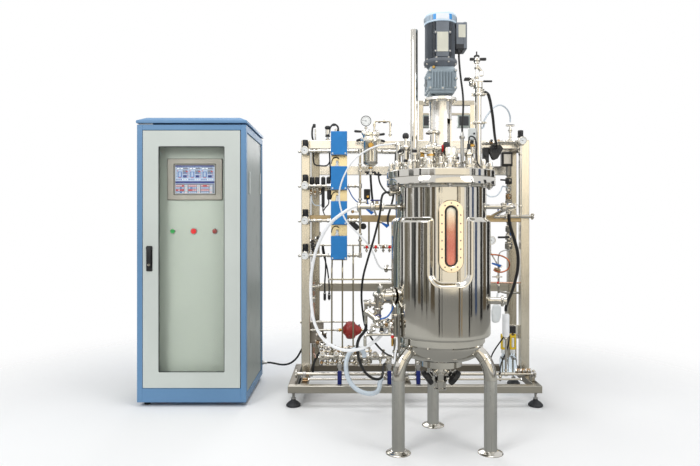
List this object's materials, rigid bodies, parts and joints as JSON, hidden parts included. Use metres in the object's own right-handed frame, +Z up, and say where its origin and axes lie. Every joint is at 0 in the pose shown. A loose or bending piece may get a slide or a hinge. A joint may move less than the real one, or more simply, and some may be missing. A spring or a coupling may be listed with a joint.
{
  "type": "pilot-scale stirred bioreactor",
  "caption": "Jacketed stainless stirred bioreactor on legs with sight glass and top drive, its piping skid and a glazed control cabinet joined by a cable.",
  "frame": {"origin": "on the floor, under the middle of the whole plant", "axes": "+X from the cabinet to the right end of the skid, +Y from the front to the back, +Z up"},
  "size_m": [2.239, 1.372, 1.9696],
  "materials": {
    "blue_paint": "satin blue powder coat",
    "white_paint": "satin off-white powder coat",
    "grey_paint": "satin pale grey-green paint",
    "polished_steel": "mirror-polished stainless steel",
    "brushed_steel": "brushed stainless steel",
    "motor_paint": "dark blue-grey enamel over cast aluminium",
    "gearbox_paint": "mid blue-grey enamel over cast iron",
    "glass": "clear pane",
    "broth": "clear pane with salmon culture behind it",
    "flow_blue": "satin mid blue",
    "lever_blue": "dipped navy grip on a steel lever",
    "pump_red": "glossy deep red enamel",
    "black_plastic": "black moulded plastic",
    "screen_plastic": "taupe bezel with a dark screen",
    "start_green": "green push button",
    "stop_red": "red push button",
    "wheel_red": "dull red caster tyre",
    "white_hose": "white silicone hose",
    "black_rubber": "black rubber hose and cable",
    "clear_hose": "clear soft hose"
  },
  "bodies": {
    "frame": {"cabinet_body": "blue_paint", "cabinet_roof": "blue_paint", "control_panel": "grey_paint", "touch_screen": "screen_plastic", "front_left_leg": "brushed_steel", "front_right_leg": "brushed_steel", "rear_leg": "brushed_steel", "skid_base": "brushed_steel", "rack_frame": "brushed_steel", "vessel": "polished_steel", "lid": "polished_steel", "bottom_valve": "polished_steel", "motor_stool": "polished_steel", "left_column": "polished_steel", "right_column": "polished_steel", "gas_pipework": "polished_steel", "drain_header": "polished_steel", "filter_housing": "polished_steel", "vent_pipework": "polished_steel", "sight_glass": "broth", "gearbox": "gearbox_paint", "drive_motor": "motor_paint", "flow_box_1": "flow_blue", "flow_box_2": "flow_blue", "flow_box_3": "flow_blue", "flow_box_4": "flow_blue", "circulation_pump": "pump_red", "white_loop_hose": "white_hose", "thin_white_tube": "white_hose", "clear_hose": "clear_hose", "control_cable": "black_rubber", "motor_cable": "black_rubber", "sensor_cable": "black_rubber", "black_loop_hose": "black_rubber", "right_black_hose": "black_rubber", "column_hose": "black_rubber"},
    "door": {"cabinet_door": "white_paint", "door_glass": "glass"},
    "handle": {"door_handle": "black_plastic"},
    "start": {"start_button": "start_green"},
    "stop": {"stop_button": "stop_red"},
    "left_fork": {"front_left_caster_fork": "brushed_steel"},
    "right_fork": {"front_right_caster_fork": "brushed_steel"},
    "front_left_wheel": {"front_left_caster_wheel": "wheel_red"},
    "front_right_wheel": {"front_right_caster_wheel": "wheel_red"},
    "rear_left_wheel": {"rear_left_caster_wheel": "wheel_red"},
    "rear_right_wheel": {"rear_right_caster_wheel": "wheel_red"},
    "stirrer": {"agitator": "polished_steel"},
    "lid_wheel": {"lid_handwheel": "black_plastic"},
    "left_drain_wheel": {"left_drain_handwheel": "black_plastic"},
    "right_drain_wheel": {"right_drain_handwheel": "black_plastic"},
    "lever_1": {"valve_lever_1": "lever_blue"},
    "lever_2": {"valve_lever_2": "lever_blue"},
    "lever_3": {"valve_lever_3": "lever_blue"},
    "lever_4": {"valve_lever_4": "lever_blue"},
    "knob_1": {"regulator_knob_1": "black_plastic"},
    "knob_2": {"regulator_knob_2": "black_plastic"},
    "knob_3": {"regulator_knob_3": "black_plastic"},
    "knob_4": {"regulator_knob_4": "black_plastic"},
    "knob_5": {"regulator_knob_5": "black_plastic"}
  },
  "joints": [
    {"name": "door_hinge", "type": "hinge", "parent": "frame", "child": "door", "pos_m": [-0.543, 0.082, 0.81], "axis": [0, 0, 1], "range_deg": [0, 110]},
    {"name": "handle_hinge", "type": "hinge", "parent": "door", "child": "handle", "pos_m": [-1.04, 0.0737, 0.8705], "axis": [-1, 0, 0], "range_deg": [0, 60]},
    {"name": "start_press", "type": "slide", "parent": "frame", "child": "start", "axis": [0, 1, 0], "range_m": [0, 0.003], "stiffness_N_per_m": 300},
    {"name": "stop_press", "type": "slide", "parent": "frame", "child": "stop", "axis": [0, 1, 0], "range_m": [0, 0.003], "stiffness_N_per_m": 300},
    {"name": "front_left_swivel", "type": "hinge", "parent": "frame", "child": "left_fork", "pos_m": [-0.98, 0.16, 0.06], "axis": [0, 0, 1], "continuous": true},
    {"name": "front_left_roll", "type": "hinge", "parent": "left_fork", "child": "front_left_wheel", "pos_m": [-0.98, 0.178, 0.028], "axis": [1, 0, 0], "continuous": true},
    {"name": "rear_left_roll", "type": "hinge", "parent": "frame", "child": "rear_left_wheel", "pos_m": [-0.98, 0.628, 0.028], "axis": [1, 0, 0], "continuous": true},
    {"name": "front_right_swivel", "type": "hinge", "parent": "frame", "child": "right_fork", "pos_m": [-0.64, 0.16, 0.06], "axis": [0, 0, 1], "continuous": true},
    {"name": "front_right_roll", "type": "hinge", "parent": "right_fork", "child": "front_right_wheel", "pos_m": [-0.64, 0.178, 0.028], "axis": [1, 0, 0], "continuous": true},
    {"name": "rear_right_roll", "type": "hinge", "parent": "frame", "child": "rear_right_wheel", "pos_m": [-0.64, 0.628, 0.028], "axis": [1, 0, 0], "continuous": true},
    {"name": "stirrer_spin", "type": "hinge", "parent": "frame", "child": "stirrer", "pos_m": [0.475, -0.436, 1], "axis": [0, 0, 1], "continuous": true},
    {"name": "lever_1_turn", "type": "hinge", "parent": "frame", "child": "lever_1", "pos_m": [0.002, 0.147, 0.208], "axis": [0, -1, 0], "range_deg": [0, 90]},
    {"name": "lever_2_turn", "type": "hinge", "parent": "frame", "child": "lever_2", "pos_m": [0.28, 0.147, 0.208], "axis": [0, -1, 0], "range_deg": [0, 90]},
    {"name": "lever_3_turn", "type": "hinge", "parent": "frame", "child": "lever_3", "pos_m": [0.442, 0.147, 0.208], "axis": [0, -1, 0], "range_deg": [0, 90]},
    {"name": "lever_4_turn", "type": "hinge", "parent": "frame", "child": "lever_4", "pos_m": [0.578, 0.147, 0.208], "axis": [0, -1, 0], "range_deg": [0, 90]},
    {"name": "knob_1_turn", "type": "hinge", "parent": "frame", "child": "knob_1", "pos_m": [-0.198, 0.246, 1.4463], "axis": [0, 0, 1], "range_deg": [-720, 720]},
    {"name": "knob_2_turn", "type": "hinge", "parent": "frame", "child": "knob_2", "pos_m": [-0.198, 0.246, 1.2463], "axis": [0, 0, 1], "range_deg": [-720, 720]},
    {"name": "knob_3_turn", "type": "hinge", "parent": "frame", "child": "knob_3", "pos_m": [-0.198, 0.246, 1.0463], "axis": [0, 0, 1], "range_deg": [-720, 720]},
    {"name": "knob_4_turn", "type": "hinge", "parent": "frame", "child": "knob_4", "pos_m": [-0.198, 0.246, 0.8463], "axis": [0, 0, 1], "range_deg": [-720, 720]},
    {"name": "knob_5_turn", "type": "hinge", "parent": "frame", "child": "knob_5", "pos_m": [1.043, 0.246, 1.5013], "axis": [0, 0, 1], "range_deg": [-720, 720]},
    {"name": "lid_wheel_turn", "type": "hinge", "parent": "frame", "child": "lid_wheel", "pos_m": [0.483, -0.554, 1.3383], "axis": [1, 0, 0], "range_deg": [0, 1080]},
    {"name": "left_drain_wheel_turn", "type": "hinge", "parent": "frame", "child": "left_drain_wheel", "pos_m": [0.451, -0.448, 0.334], "axis": [-0.796, -0.0995, -0.597], "range_deg": [0, 1080]},
    {"name": "right_drain_wheel_turn", "type": "hinge", "parent": "frame", "child": "right_drain_wheel", "pos_m": [0.499, -0.448, 0.334], "axis": [0.796, -0.0995, -0.597], "range_deg": [0, 1080]}
  ]
}
